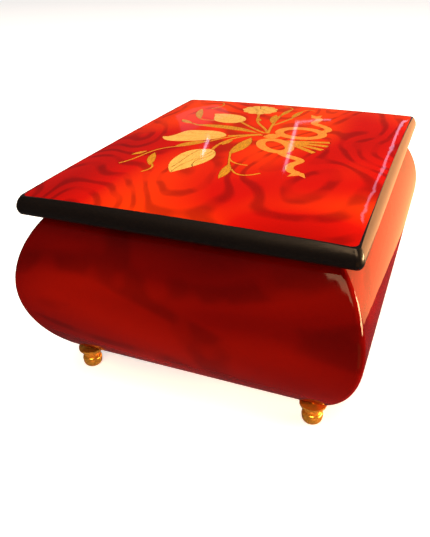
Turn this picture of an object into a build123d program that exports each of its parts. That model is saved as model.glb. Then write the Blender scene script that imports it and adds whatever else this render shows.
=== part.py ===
from build123d import *
from math import acos, comb as choose, cos, pi, radians, sin, tan
import os

# Cylinder music box: a swelling, veneered case on four turned feet, with an inlaid lid on two
# butt hinges, a lined jewellery compartment and an 18-note movement wound from underneath.
# Origin on the table under the middle of the case, +Z up, the front faces -Y, hinges at +Y.
# All sizes in millimetres.

os.makedirs("parts", exist_ok=True)

# case
neck_length = 127.0  # rim of the case along X
neck_width = 98.0  # rim of the case along Y
case_height = 60.5  # underside of the case to its rim
swell = 12.95  # how far the walls swell out past the rim
tuck = 2.9  # how far the underside lies inside the rim
wall = 7.5  # wall thickness at the rim
mitre_round = 2.0
base_thickness = 5.0

# feet
foot_height = 8.6
foot_rim_radius = 4.8
foot_waist_radius = 3.1
foot_bun_radius = 3.75
foot_flat_radius = 2.1
foot_inset = 0.95  # foot axis inside the edges of the underside
shank_radius = 1.2
shank_length = 4.0

# lid
lid_overhang = 9.0
lid_edge_height = 6.7
lid_crown = 1.35
lid_corner_drop = 0.65
lid_corner_round = 2.2
crown_roll = 8  # even power of the roll-off towards the edges
veneer = 0.6
veneer_inset = 2.4
lid_gap = 0.15
kerf = 0.12

# hinges
knuckle_radius = 1.5
knuckle_offset = 4.5  # knuckle axis behind the rim
hinge_pin_radius = 0.7
hinge_pin_length = 18.8
hinge_width = 18.0
hinge_spacing = 72.0
leaf_thickness = 0.8
leaf_depth = 5.6  # how far a leaf lies over the wall
hinge_play = 0.15
screw_radius = 0.9
screw_head_radius = 1.7
screw_length = 5.5

# inside
bay_width = 40.5
partition = 3.0
partition_height = 47.0
divider = 2.4
divider_height = 33.0
lining = 0.8
floor_pad = 1.6
roll_radius = 5.2
roll_count = 5
pad_thickness = 1.2
pad_margin = 1.2
cover_thickness = 1.5
cover_level = 38.4  # underside of the cover above the floor of the case
ledge = 2.2

# movement
bedplate_thickness = 2.4
bedplate_width = 37.5
bedplate_length = 61.0
running_clearance = 0.05
crown_module = 0.8
crown_teeth = 28
pinion_teeth = 10
crown_face = 2.0
ring_thickness = 1.6
drum_wall = 0.8
drum_height = 12.6
arbor_radius = 1.5
ratchet_thickness = 1.0
ratchet_radius = 4.5
ratchet_teeth = 12
cylinder_radius = 6.5
cylinder_length = 20.0
cylinder_wall = 0.6
shaft_radius = 1.0
pin_radius = 0.2
pin_height = 0.65
note_count = 18
note_pitch = 1.05
pins_per_note = 7
pluck_gap = 0.1
comb_thickness = 1.0
comb_length = 18.0
tooth_slot = 0.28
train_module = 0.4
train_gear_teeth = 32
train_pinion_teeth = 8
worm_wheel_teeth = 24
worm_pitch_radius = 1.6
train_face = 1.2
pivot_radius = 0.5
bridge_thickness = 1.5
fan_span = 7.6
fan_blade_height = 4.5
key_span = 19.0
key_height = 6.4

# lid stop
plunger_radius = 0.9
plunger_travel = 2.6
collar_radius = 1.9
spring_wire = 0.2

# levels
underside = foot_height
floor = underside + base_thickness
rim = underside + case_height
lid_under = rim + lid_gap
lid_length = neck_length + 2 * lid_overhang
lid_width = neck_width + 2 * lid_overhang
inner_length = neck_length - 2 * wall
inner_width = neck_width - 2 * wall
knuckle_y = neck_width / 2 + knuckle_offset
knuckle_z = rim + lid_gap / 2
partition_x = inner_length / 2 - bay_width - partition / 2
tray_left = -inner_length / 2
tray_right = partition_x - partition / 2
bay_left = partition_x + partition / 2


def save(piece, name):
    piece.part.label = name
    export_step(piece.part, f"parts/{name}.step")


def block(x, y, z, size_x, size_y, size_z):
    """A box from its lowest corner, outside any builder."""
    low = (Align.MIN, Align.MIN, Align.MIN)
    return Pos(x, y, z) * Box(size_x, size_y, size_z, align=low, mode=Mode.PRIVATE)


# ---------------------------------------------------------------- case walls and base
def bombe_slab(plane, half_width, reach):
    """A slab with the swelling outline of the case, seen along one of its sides."""
    drops = (
        (0, 0),
        (0.81 * swell, case_height / 4),
        (swell, 0.455 * case_height),
        (0.69 * swell, 0.75 * case_height),
        (-tuck, case_height),
    )
    outline = [(half_width + out, rim - drop) for out, drop in drops]
    with BuildPart() as slab:
        with BuildSketch(plane):
            with BuildLine():
                Spline(*outline)
                Spline(*[(-x, z) for x, z in outline])
                Line(outline[0], (-outline[0][0], outline[0][1]))
                Line(outline[-1], (-outline[-1][0], outline[-1][1]))
            make_face()
        extrude(amount=reach, both=True)
    return slab


reach = neck_length + neck_width
long_slab = bombe_slab(Plane.XZ, neck_length / 2, reach)
cross_slab = bombe_slab(Plane.YZ, neck_width / 2, reach)
with BuildPart() as case_block:
    add(long_slab.part)
    add(cross_slab.part, mode=Mode.INTERSECT)
    mitres = [e for e in case_block.edges() if e.bounding_box().size.Z > 0.9 * case_height]
    fillet(mitres, mitre_round)

base_x = neck_length / 2 - tuck
base_y = neck_width / 2 - tuck
feet_places = [
    (f"foot_{depth}_{side}", sx * (base_x - foot_inset), sy * (base_y - foot_inset))
    for depth, sy in (("front", -1), ("back", 1))
    for side, sx in (("left", -1), ("right", 1))
]

with BuildPart() as wall_ring:
    add(case_block.part)
    with Locations((0, 0, floor)):
        Box(
            inner_length, inner_width, 2 * case_height,
            align=(Align.CENTER, Align.CENTER, Align.MIN), mode=Mode.SUBTRACT,
        )
    with Locations((0, 0, floor)):
        Box(
            2 * reach, 2 * reach, reach,
            align=(Align.CENTER, Align.CENTER, Align.MAX), mode=Mode.SUBTRACT,
        )

# the hinge leaves lie flush in shallow mortises in the rim of the back wall
hinge_places = [("left", -hinge_spacing / 2), ("right", hinge_spacing / 2)]
leaf_front = neck_width / 2 - leaf_depth
leaf_screw_y = neck_width / 2 - leaf_depth / 2
leaf_screw_x = hinge_width / 3
for wall_name, long_side, sign in (
    ("front", True, -1), ("back", True, 1), ("left", False, -1), ("right", False, 1),
):
    out_x, out_y = neck_length / 2 + 40, neck_width / 2 + 40
    in_x, in_y = neck_length / 2 - 20, neck_width / 2 - 20
    if long_side:
        corners = [(-out_x, sign * out_y), (out_x, sign * out_y)]
        corners += [(in_x, sign * in_y), (-in_x, sign * in_y)]
    else:
        corners = [(sign * out_x, -out_y), (sign * out_x, out_y)]
        corners += [(sign * in_x, in_y), (sign * in_x, -in_y)]
    with BuildPart() as panel:
        add(wall_ring.part)
        with BuildSketch():
            with BuildLine():
                Polyline(*corners, close=True)
            make_face()
        extrude(amount=2 * rim, mode=Mode.INTERSECT)
        if wall_name == "back":
            for _, hinge_x in hinge_places:
                with Locations((hinge_x, leaf_front, rim)):
                    Box(
                        hinge_width, neck_width, 2 * leaf_thickness,
                        align=(Align.CENTER, Align.MIN, Align.CENTER), mode=Mode.SUBTRACT,
                    )
                for side in (-1, 1):
                    with Locations((hinge_x + side * leaf_screw_x, leaf_screw_y, rim)):
                        Cylinder(
                            screw_radius, 2 * (screw_length + leaf_thickness), mode=Mode.SUBTRACT
                        )
    save(panel, f"{wall_name}_panel")

movement_x = bay_left + 1.0 + bedplate_width - crown_module * crown_teeth / 2 - 1.3
drum_y = -neck_width / 4 + 0.5
bed_left = bay_left + 1.0
bed_front = drum_y - 14.0
bed_under = floor
bed_top = bed_under + bedplate_thickness
bed_screws = [
    (bed_left + 4, bed_front + 5), (bed_left + 4, bed_front + bedplate_length - 5),
    (bed_left + bedplate_width - 4, bed_front + bedplate_length - 5),
]
bed_screw_radius = 1.2
bed_head_radius = 2.3
arbor_hole = arbor_radius + running_clearance

with BuildPart() as base_board:
    add(case_block.part)
    with Locations((0, 0, floor)):
        Box(
            2 * reach, 2 * reach, 2 * case_height,
            align=(Align.CENTER, Align.CENTER, Align.MIN), mode=Mode.SUBTRACT,
        )
    for _, foot_x, foot_y in feet_places:
        with Locations((foot_x, foot_y, underside)):
            Cylinder(shank_radius, 2 * shank_length, mode=Mode.SUBTRACT)
    with Locations((movement_x, drum_y, underside)):
        Cylinder(arbor_radius + 1.0, 3 * base_thickness, mode=Mode.SUBTRACT)
    with Locations([Plane((x, y, underside), z_dir=(0, 0, -1)) for x, y in bed_screws]):
        CounterSinkHole(bed_screw_radius, bed_head_radius, depth=base_thickness)
save(base_board, "base_board")

for foot_name, foot_x, foot_y in feet_places:
    with BuildPart() as foot:
        with BuildSketch(Plane.XZ.offset(-foot_y)):
            with BuildLine():
                waist = (foot_x + foot_waist_radius, 0.53 * foot_height)
                rim_low = (foot_x + foot_rim_radius, foot_height - 0.9)
                bun = (foot_x + foot_bun_radius, 0.27 * foot_height)
                Polyline(
                    (foot_x, 0), (foot_x, foot_height + shank_length),
                    (foot_x + shank_radius, foot_height + shank_length),
                    (foot_x + shank_radius, foot_height), (foot_x + foot_rim_radius, foot_height),
                    rim_low,
                )
                Spline(
                    rim_low, (foot_x + foot_waist_radius + 0.55, 0.7 * foot_height), waist,
                    tangents=[(-1, -1), (-0.1, -1)],
                )
                Spline(waist, bun, (foot_x + foot_flat_radius, 0), tangents=[(1, -0.6), (-1, -0.25)])
                Line((foot_x + foot_flat_radius, 0), (foot_x, 0))
            make_face()
        revolve(axis=Axis((foot_x, foot_y, 0), (0, 0, 1)))
    save(foot, foot_name)


# ---------------------------------------------------------------- lid
def lid_slab(plane, half_width, reach):
    """A slab with the rounded black edge of the lid on both sides."""
    edge = (
        (0.9, 0), (0.25, 0.8), (0, 2.7), (0.75, 5.0), (2.0, lid_edge_height),
        (3.7, lid_edge_height + 2.2),
    )
    outline = [(half_width - inward, lid_under + up) for inward, up in edge]
    with BuildPart() as slab:
        with BuildSketch(plane):
            with BuildLine():
                Spline(*outline)
                Spline(*[(-x, z) for x, z in outline])
                Line(outline[0], (-outline[0][0], outline[0][1]))
                Line(outline[-1], (-outline[-1][0], outline[-1][1]))
            make_face()
        extrude(amount=reach, both=True)
    return slab


def bezier_power(power, i, span):
    """Bezier coefficient i, of crown_roll, for u**power over -span to +span."""
    n = crown_roll
    terms = [
        choose(i, j) * choose(n - i, power - j) * (-1) ** (power - j)
        for j in range(max(0, power - n + i), min(i, power) + 1)
    ]
    return span**power * sum(terms) / choose(n, power)


def crown_surface(lower):
    """The pillowed top as one Bezier patch, running out past the edges of the lid.

    With u and v from -1 to 1 across the lid, the height over the underside is
    lid_edge_height + lid_crown * (1 - u**8) * (1 - v**8) - lid_corner_drop * (u * v)**2, the 8 being crown_roll.
    """
    n, span = crown_roll, 1.03
    rows = []
    for i in range(n + 1):
        row = []
        for j in range(n + 1):
            x = lid_length / 2 * span * (2 * i / n - 1)
            y = lid_width / 2 * span * (2 * j / n - 1)
            pillow = (1 - bezier_power(n, i, span)) * (1 - bezier_power(n, j, span))
            corners = bezier_power(2, i, span) * bezier_power(2, j, span)
            height = lid_edge_height + lid_crown * pillow - lid_corner_drop * corners
            row.append((x, y, lid_under + height - lower))
        rows.append(row)
    return Face.make_bezier_surface(rows)


long_lid = lid_slab(Plane.XZ, lid_length / 2, reach)
cross_lid = lid_slab(Plane.YZ, lid_width / 2, reach)
with BuildPart() as lid_block:
    add(long_lid.part)
    add(cross_lid.part, mode=Mode.INTERSECT)
    corners = [e for e in lid_block.edges() if e.bounding_box().size.Z > lid_edge_height]
    fillet(corners, lid_corner_round)
    split(bisect_by=crown_surface(0), keep=Keep.BOTTOM)


with BuildPart() as veneer_sheet:
    add(lid_block.part)
    with BuildSketch(Plane.XY.offset(lid_under)):
        RectangleRounded(
            lid_length - 2 * veneer_inset, lid_width - 2 * veneer_inset, lid_corner_round
        )
    extrude(amount=lid_edge_height + 3 * lid_crown, mode=Mode.INTERSECT)
    split(bisect_by=crown_surface(veneer), keep=Keep.TOP)

# the lid board has a pocket over the hinge knuckles and mortises for the lid leaves
with BuildPart() as lid_board:
    add(lid_block.part)
    add(veneer_sheet.part, mode=Mode.SUBTRACT)
    for _, hinge_x in hinge_places:
        with Locations((hinge_x, knuckle_y, knuckle_z)):
            Cylinder(
                knuckle_radius + 2 * hinge_play, hinge_pin_length + 4 * hinge_play,
                rotation=(0, 90, 0), mode=Mode.SUBTRACT,
            )
        with Locations((hinge_x, leaf_front, lid_under)):
            Box(
                hinge_width, knuckle_y - leaf_front, 2 * leaf_thickness,
                align=(Align.CENTER, Align.MIN, Align.CENTER), mode=Mode.SUBTRACT,
            )
        for side in (-1, 1):
            with Locations((hinge_x + side * leaf_screw_x, leaf_screw_y, lid_under)):
                Cylinder(screw_radius, 2 * screw_length, mode=Mode.SUBTRACT)
save(lid_board, "lid_board")


# ---------------------------------------------------------------- marquetry in the lid
def leaf(base, tip, width, bow, grow):
    """A pointed leaf between two arcs; bow bends it to the left of its run."""
    start, end = Vector(*base), Vector(*tip)
    along = (end - start).normalized()
    across = Vector(-along.Y, along.X)
    start, end = start - along * 2 * grow, end + along * 2 * grow
    middle = (start + end) * 0.5 + across * bow
    with BuildLine() as outline:
        ThreePointArc(start, middle + across * (width / 2 + grow), end)
        ThreePointArc(end, middle - across * (width / 2 + grow), start)
    make_face(outline.line)


def vine(points, width, grow):
    with BuildLine() as run:
        Spline(*points)
    trace(run.line, line_width=width + 2 * grow)


def let_out(points, grow):
    """The points moved outwards from their middle by grow."""
    center = sum((Vector(*p) for p in points), Vector()) / len(points)
    return [Vector(*p) + (Vector(*p) - center).normalized() * grow for p in points]


def swallow_tail(points, grow):
    """The forked end of a ribbon."""
    with BuildLine() as outline:
        Polyline(*let_out(points, 1.4 * grow), close=True)
    make_face(outline.line)


def blossom(points, grow):
    """A petal outline with its point at the first place, let out by grow."""
    spread = let_out(points, grow)
    with BuildLine() as outline:
        Spline(*spread, spread[0])
    make_face(outline.line)


left_bud = [
    (-38, 16), (-29, 20.7), (-21, 21.4), (-15, 20.3), (-10.6, 16.6), (-9.6, 12), (-13, 8.9),
    (-21, 7.8), (-29, 10.6),
]
tall_tulip = [
    (0.3, 38.2), (5.2, 33.8), (11, 31.8), (13.6, 25.5), (14, 18), (9.5, 13.2), (4.9, 15.2),
    (0.6, 20), (-2.6, 26), (-4.1, 33.5),
]
right_tulip = [
    (40.8, 31.3), (42.4, 25.8), (41.7, 19.6), (38, 14.6), (32.6, 13.8), (28.6, 17.2), (28, 22),
    (30, 26.6), (34, 28.6),
]
daisy_center = (54.5, 13.0)
daisy_radius = 8.2
daisy_petals = 11
saw_line = 0.35
blossom_cuts = [
    [(-38, 16), (-29, 15.6), (-21, 13.2), (-11, 11)],
    [(-33, 18), (-26, 17.6), (-18, 17.4), (-10, 15.6)],
    [(-30, 11), (-24, 12.4), (-18, 10.4), (-12, 9.6)],
    [(0.4, 38), (3.4, 31), (5.6, 23), (7.4, 13.6)],
    [(-3.9, 31), (0.6, 25), (4, 19.4), (7, 14)],
    [(10.8, 31.6), (9, 26.6), (9.4, 20.4), (9.6, 13.6)],
    [(40.6, 31), (37, 25), (35.4, 19.6), (35.8, 14)],
    [(33.6, 28.4), (32.4, 23.6), (32.6, 18.4), (34, 14)],
]


def draw_blossoms(grow):
    with BuildSketch(mode=Mode.PRIVATE) as flowers:
        for outline in (left_bud, tall_tulip, right_tulip):
            with BuildSketch(mode=Mode.PRIVATE) as flower:
                blossom(outline, grow)
            add(flower.sketch)
        with BuildSketch(mode=Mode.PRIVATE) as daisy:
            Circle(0.72 * daisy_radius + grow)
            with PolarLocations(0.74 * daisy_radius, daisy_petals):
                Circle(0.29 * daisy_radius + grow)
        add(daisy.sketch.moved(Location((*daisy_center, 0))))
        if not grow:
            for points in blossom_cuts:
                with BuildLine() as cut:
                    Spline(*points)
                trace(cut.line, line_width=saw_line, mode=Mode.SUBTRACT)
            with Locations(daisy_center):
                with PolarLocations(0.62 * daisy_radius, daisy_petals, start_angle=180 / daisy_petals):
                    Rectangle(0.76 * daisy_radius, saw_line, mode=Mode.SUBTRACT)
                Circle(0.24 * daisy_radius, mode=Mode.SUBTRACT)
                Circle(0.24 * daisy_radius - saw_line)
    return flowers.sketch


leaves = [
    # base, tip, width, bow
    ((10, 2.2), (-12.6, 3.6), 5.0, 0.6), ((-23, -0.6), (-38, -2.3), 3.4, 0.5),
    ((17, 1.5), (20.4, 33.5), 4.6, -2.6), ((0.5, 17), (-11.5, 27.6), 4.2, -0.8),
    ((-19, 35.4), (-24.8, 39.2), 2.2, 0.2), ((-20, 31.4), (-33.5, 26.6), 3.0, -0.4),
    ((35.6, 6.4), (39.8, 9.6), 2.2, 0.3), ((33, 0.2), (47.6, 2.8), 3.4, 0.4),
    ((30.4, 34.2), (48.4, 40.8), 3.4, 0.8), ((43.5, -5.6), (58.6, -7.2), 2.6, 0.5),
    ((46, 0.4), (61.5, -1.6), 2.4, 0.4), ((4.6, 8.4), (-2.6, 10.2), 2.4, -0.4),
    ((22.6, 34.6), (27.6, 41.6), 3.2, 0.6),
]


def draw_leaves(grow):
    with BuildSketch(mode=Mode.PRIVATE) as foliage:
        for base, tip, width, bow in leaves:
            with BuildSketch(mode=Mode.PRIVATE) as one:
                leaf(base, tip, width, bow, grow)
            add(one.sketch)
    return foliage.sketch


stem_width = 1.15
tendril_width = 0.7
stems = [
    [(15, -1), (10, 6.4), (3, 10.4), (-9.4, 11.6)],
    [(15.5, 0), (7.2, 12), (0, 16.8)],
    [(18, -1), (22, 4.4), (27, 10), (31.2, 14.4)],
    [(18, -2), (25, 1.6), (33, 7), (41, 9.6), (47, 11.2)],
    [(18, -2.4), (29, -0.6), (38, 0.3), (47, 0.6)],
    [(30, -0.8), (37, -3.4), (44, -5.6)],
    [(9.5, 12.4), (12.8, 6), (16, 0)],
]
tendrils = [
    [(-10, 3.7), (-16, 2), (-24, -0.8)], [(-28, -3.4), (-32.4, -8.3), (-28.7, -14.3)],
    [(-17, 1.6), (-21.6, -2.6), (-22.3, -7.4)], [(-10.6, 26.8), (-18, 33), (-26, 35.2), (-35, 38.8)],
    [(50, 36.6), (54, 34.2), (58.6, 33.6), (64.6, 36.6)], [(30.6, 26.8), (29.6, 31), (31.2, 34.6)],
    [(57, -6.8), (61.6, -9.6), (60.6, -12.4)], [(21.2, 30), (22, 33), (23.2, 35.4)],
    [(-31, 27.6), (-35.8, 24.8), (-40.6, 26.4)], [(60, -1.6), (64.4, 0.8), (66.2, 4.4)],
]


def draw_stems(grow):
    with BuildSketch(mode=Mode.PRIVATE) as lines:
        for points in stems:
            vine(points, stem_width, grow)
        for points in tendrils:
            vine(points, tendril_width, grow)
        for turn in (-14, 2, 18, 34):
            with Locations(Location((9.5, -12, 0), (0, 0, turn - 22))):
                Rectangle(
                    2.2 + 2 * grow, 18 + 2 * grow, align=(Align.CENTER, Align.MAX)
                )
    return lines.sketch


ribbon_width = 3.7
left_loop = ((3, -10), (10, 7), 40)  # centre, outer half axes, tilt
right_loop = ((22.4, -15.4), (11, 8.7), 86)
tail_width = 3.1
ribbon_tails = [  # run, forked end
    ([(-3, -14.6), (-8.4, -19.4), (-11.8, -24.2), (-16.4, -22.4), (-20.4, -22.4), (-24.4, -26.6)],
     [(-22.6, -25.2), (-28.8, -24.0), (-26.4, -27.4), (-28.4, -30.4), (-24.2, -28.8)]),
    ([(26.2, -22.4), (30.8, -25.2), (35.4, -21.6), (39.4, -17.0), (44, -17.8), (48.6, -15.4)],
     [(47.4, -17.4), (53.4, -17.4), (50.8, -15.2), (52.8, -12.4), (47.2, -13.8)]),
]


def draw_ribbon(grow):
    with BuildSketch(mode=Mode.PRIVATE) as bow:
        for center, (long_half, short_half), tilt in (left_loop, right_loop):
            with Locations(Location((*center, 0), (0, 0, tilt))):
                Ellipse(long_half + grow, short_half + grow)
        for center, (long_half, short_half), tilt in (left_loop, right_loop):
            with Locations(Location((*center, 0), (0, 0, tilt))):
                Ellipse(
                    long_half - ribbon_width - grow, short_half - ribbon_width - grow,
                    mode=Mode.SUBTRACT,
                )
        with Locations(Location((14.6, -5.2, 0), (0, 0, -24))):
            RectangleRounded(6.4 + 2 * grow, 5.6 + 2 * grow, 1.6)
        for tail, fork in ribbon_tails:
            vine(tail, tail_width, grow)
            swallow_tail(fork, grow)
        if not grow:
            with BuildLine() as cuts:
                Line((12.4, -8.6), (10.2, -3.2))
                Line((18.2, -7.4), (17.4, -1.8))
                Line((-10.6, -27.2), (-12.6, -21.4))
                Line((34, -19.6), (38, -22.4))
            trace(cuts.line, line_width=saw_line, mode=Mode.SUBTRACT)
    return bow.sketch


families = [
    ("inlay_ribbon", draw_ribbon), ("inlay_blossoms", draw_blossoms),
    ("inlay_leaves", draw_leaves), ("inlay_stems", draw_stems),
]
lid_top = lid_under + lid_edge_height + 3 * lid_crown
taken = []
for inlay_name, draw in families:
    with BuildSketch() as outline:
        add(draw(0))
        for earlier in taken:
            add(earlier, mode=Mode.SUBTRACT)
    with BuildPart() as inlay:
        with BuildSketch(Plane.XY.offset(lid_under)):
            add(outline.sketch)
        extrude(amount=lid_top - lid_under)
        add(veneer_sheet.part, mode=Mode.INTERSECT)
    save(inlay, inlay_name)
    taken.append(draw(kerf))

with BuildPart() as lid_veneer:
    add(veneer_sheet.part)
    for cut_out in [face for outline in taken for face in outline.faces()]:
        extrude(
            Pos(0, 0, lid_under) * cut_out, amount=lid_top - lid_under, mode=Mode.SUBTRACT
        )
save(lid_veneer, "lid_veneer")

# ---------------------------------------------------------------- hinges
knuckle_length = hinge_width / 3
pin_hole = hinge_pin_radius + running_clearance


def hinge_leaf(hinge_x, half, spans):
    """A leaf with its knuckles; half is -1 for the case side and +1 for the lid side."""
    leaf_z = rim - leaf_thickness if half < 0 else lid_under
    with BuildPart() as leaf_part:
        for low, high in spans:
            with Locations((hinge_x + (low + high) / 2, knuckle_y, knuckle_z)):
                Cylinder(knuckle_radius, high - low, rotation=(0, 90, 0))
            add(block(
                hinge_x + low, leaf_front, leaf_z,
                high - low, knuckle_y - leaf_front, leaf_thickness,
            ))
        plate_depth = knuckle_y - knuckle_radius - hinge_play - leaf_front
        add(block(
            hinge_x - hinge_width / 2, leaf_front, leaf_z,
            hinge_width, plate_depth, leaf_thickness,
        ))
        with Locations((hinge_x, knuckle_y, knuckle_z)):
            Cylinder(pin_hole, 2 * hinge_width, rotation=(0, 90, 0), mode=Mode.SUBTRACT)
        outside = leaf_z + (leaf_thickness if half < 0 else 0)
        for side in (-1, 1):
            place = Plane(
                (hinge_x + side * leaf_screw_x, leaf_screw_y, outside), z_dir=(0, 0, -half)
            )
            with Locations(place):
                CounterSinkHole(screw_radius, screw_head_radius, depth=2 * leaf_thickness)
    return leaf_part


def countersunk_screw(radius, head_radius, length):
    """A countersunk screw with its slotted face at z = 0, outside any builder."""
    with BuildPart(mode=Mode.PRIVATE) as screw:
        with BuildSketch(Plane.XZ):
            with BuildLine():
                Polyline(
                    (0, 0), (head_radius, 0), (radius, radius - head_radius), (radius, -length),
                    (0, -length - radius), close=True,
                )
            make_face()
        revolve(axis=Axis.Z)
        add(block(-head_radius, -0.18, -0.4, 2 * head_radius, 0.36, 1), mode=Mode.SUBTRACT)
    return screw.part


outer_case = -hinge_width / 2
inner_case = -knuckle_length / 2
case_spans = [(outer_case, inner_case - hinge_play), (-inner_case + hinge_play, -outer_case)]
lid_spans = [(inner_case + hinge_play, -inner_case - hinge_play)]
for side_name, hinge_x in hinge_places:
    save(hinge_leaf(hinge_x, -1, case_spans), f"hinge_case_leaf_{side_name}")
    save(hinge_leaf(hinge_x, 1, lid_spans), f"hinge_lid_leaf_{side_name}")
    with BuildPart() as pin:
        with Locations((hinge_x, knuckle_y, knuckle_z)):
            Cylinder(hinge_pin_radius, hinge_pin_length, rotation=(0, 90, 0))
        fillet(pin.edges(), 0.3)
    save(pin, f"hinge_pin_{side_name}")

leaf_screw = countersunk_screw(screw_radius, screw_head_radius, screw_length - screw_radius)
for name, level, turn in (("case_hinge_screws", rim, 0), ("lid_hinge_screws", lid_under, 180)):
    with BuildPart() as screws:
        for _, hinge_x in hinge_places:
            for side in (-1, 1):
                where = (hinge_x + side * leaf_screw_x, leaf_screw_y, level)
                with Locations(Location(where, (turn, 0, 0))):
                    add(leaf_screw)
    save(screws, name)

# ---------------------------------------------------------------- inside of the case
with BuildPart() as bay_partition:
    with Locations((partition_x, 0, floor)):
        Box(
            partition, inner_width, partition_height,
            align=(Align.CENTER, Align.CENTER, Align.MIN),
        )
    fillet(bay_partition.faces().sort_by(Axis.Z)[-1].edges().filter_by(Axis.Y), partition / 3)
save(bay_partition, "bay_partition")

tray_length = tray_right - tray_left
with BuildPart() as compartment_divider:
    with Locations(((tray_left + tray_right) / 2, 0, floor)):
        Box(
            tray_length, divider, divider_height, align=(Align.CENTER, Align.CENTER, Align.MIN)
        )
    top_edges = compartment_divider.faces().sort_by(Axis.Z)[-1].edges()
    fillet(top_edges.filter_by(Axis.X), divider / 3)
save(compartment_divider, "compartment_divider")

# each compartment has a padded floor and a velvet lining around its walls
tray_height = partition_height - 2.0
for tray_name, y_low, y_high in (
    ("front", -inner_width / 2, -divider / 2), ("back", divider / 2, inner_width / 2),
):
    depth = y_high - y_low
    with BuildPart() as velvet:
        add(block(tray_left, y_low, floor, tray_length, depth, tray_height))
        add(
            block(
                tray_left + lining, y_low + lining, floor - 1,
                tray_length - 2 * lining, depth - 2 * lining, tray_height + 2,
            ),
            mode=Mode.SUBTRACT,
        )
        low_side = divider_height - 0.8 * divider
        inner_y = y_high - lining if tray_name == "front" else y_low
        add(
            block(tray_left + lining, inner_y, floor + low_side,
                  tray_length - 2 * lining, lining, tray_height),
            mode=Mode.SUBTRACT,
        )
    save(velvet, f"{tray_name}_velvet")
    with BuildPart() as pad:
        add(block(
            tray_left + lining, y_low + lining, floor,
            tray_length - 2 * lining, depth - 2 * lining, floor_pad,
        ))
        fillet(pad.faces().sort_by(Axis.Z)[-1].edges(), floor_pad / 2)
    save(pad, f"{tray_name}_floor_pad")

# soft rolls that hold rings upright in the front compartment
roll_length = tray_length - 2 * lining - 0.6
roll_room = inner_width / 2 - divider / 2 - 2 * lining
roll_pitch = roll_room / roll_count
roll_depth = roll_pitch - 0.3
with BuildPart() as ring_rolls:
    for k in range(roll_count):
        y = -inner_width / 2 + lining + (k + 0.5) * roll_pitch
        with BuildSketch(Plane.YZ.offset(tray_left + lining + 0.3)):
            with Locations((y, floor + floor_pad + 0.1)):
                Rectangle(roll_depth, 2 * roll_radius, align=(Align.CENTER, Align.MIN))
        extrude(amount=roll_length)
    long_tops = ring_rolls.edges().filter_by(Axis.X).group_by(Axis.Z)[-1]
    fillet(long_tops, 0.42 * roll_depth)
save(ring_rolls, "ring_rolls")

with BuildPart() as lid_lining:
    with Locations((0, 0, lid_under)):
        Box(
            inner_length - 2 * pad_margin, inner_width - 2 * pad_margin, pad_thickness,
            align=(Align.CENTER, Align.CENTER, Align.MAX),
        )
    fillet(lid_lining.edges().filter_by(Axis.Z), 2.0)
    fillet(lid_lining.faces().sort_by(Axis.Z)[0].edges(), pad_thickness / 2)
save(lid_lining, "lid_lining")

cover_under = floor + cover_level
bay_length = inner_length / 2 - bay_left
with BuildPart() as cover_ledges:
    for y in (-inner_width / 2, inner_width / 2 - ledge):
        add(block(bay_left, y, cover_under - ledge, bay_length, ledge, ledge))
    add(block(
        inner_length / 2 - ledge, -inner_width / 2 + ledge + 0.1, cover_under - ledge,
        ledge, inner_width - 2 * ledge - 0.2, ledge,
    ))
save(cover_ledges, "cover_ledges")

# ---------------------------------------------------------------- movement: places
crown_radius = crown_module * crown_teeth / 2
pinion_radius = crown_module * pinion_teeth / 2
ring_under = bed_top + 0.2 + ratchet_thickness + 0.2
ring_top = ring_under + ring_thickness
shaft_z = ring_top + 1.2 * crown_module + pinion_radius
ring_outer = crown_radius + crown_face / 2
drum_radius = crown_radius - crown_face / 2 - 0.6
drum_top = ring_under + drum_height
front_bridge_y = drum_y + ring_outer + 0.5
cylinder_y = front_bridge_y + bridge_thickness + 0.8
train_gear_y = cylinder_y + cylinder_length + 0.9
rear_bridge_y = train_gear_y + train_face + 0.8
wheel_y = rear_bridge_y + bridge_thickness + 1.5
governor_wall_y = wheel_y + train_face + 2.0
comb_y = cylinder_y + (cylinder_length - note_count * note_pitch) / 2
comb_tip_x = movement_x - cylinder_radius - pin_height - pluck_gap
comb_heel_x = comb_tip_x - comb_length
train_distance = train_module * (train_gear_teeth + train_pinion_teeth) / 2
train_rise = 18.0  # degrees that the governor wheel stands above the level of the cylinder
wheel_x = movement_x - train_distance * cos(radians(train_rise))
wheel_z = shaft_z + train_distance * sin(radians(train_rise))
wheel_radius = train_module * worm_wheel_teeth / 2
fan_x = wheel_x - wheel_radius - worm_pitch_radius
fan_y = wheel_y + train_face / 2
along_y = Plane((0, 0, 0), x_dir=(1, 0, 0), z_dir=(0, 1, 0))  # local y points down


def tooth_profile(module, teeth, play):
    """One involute tooth of a small wheel, pointing along +X."""
    pitch = module * teeth / 2
    base = pitch * cos(radians(20))
    root = pitch - 1.15 * module
    tip = pitch + 0.85 * module

    def half_angle(r):
        slope = acos(min(1, base / r))
        at_pitch = tan(radians(20)) - radians(20)
        return pi / (2 * teeth) - play / pitch + at_pitch - (tan(slope) - slope)

    radii = [max(base, root) + k * (tip - max(base, root)) / 4 for k in range(5)]
    flank = [(r * cos(half_angle(r)), r * sin(half_angle(r))) for r in radii]
    foot = (0.9 * root * cos(half_angle(base)), 0.9 * root * sin(half_angle(base)))
    with BuildSketch(mode=Mode.PRIVATE) as tooth:
        with BuildLine():
            Line(foot, flank[0])
            Spline(*flank)
            Line(flank[-1], (flank[-1][0], -flank[-1][1]))
            Spline(*[(x, -y) for x, y in flank])
            Line((flank[0][0], -flank[0][1]), (foot[0], -foot[1]))
            Line((foot[0], -foot[1]), foot)
        make_face()
    return tooth.sketch


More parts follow.
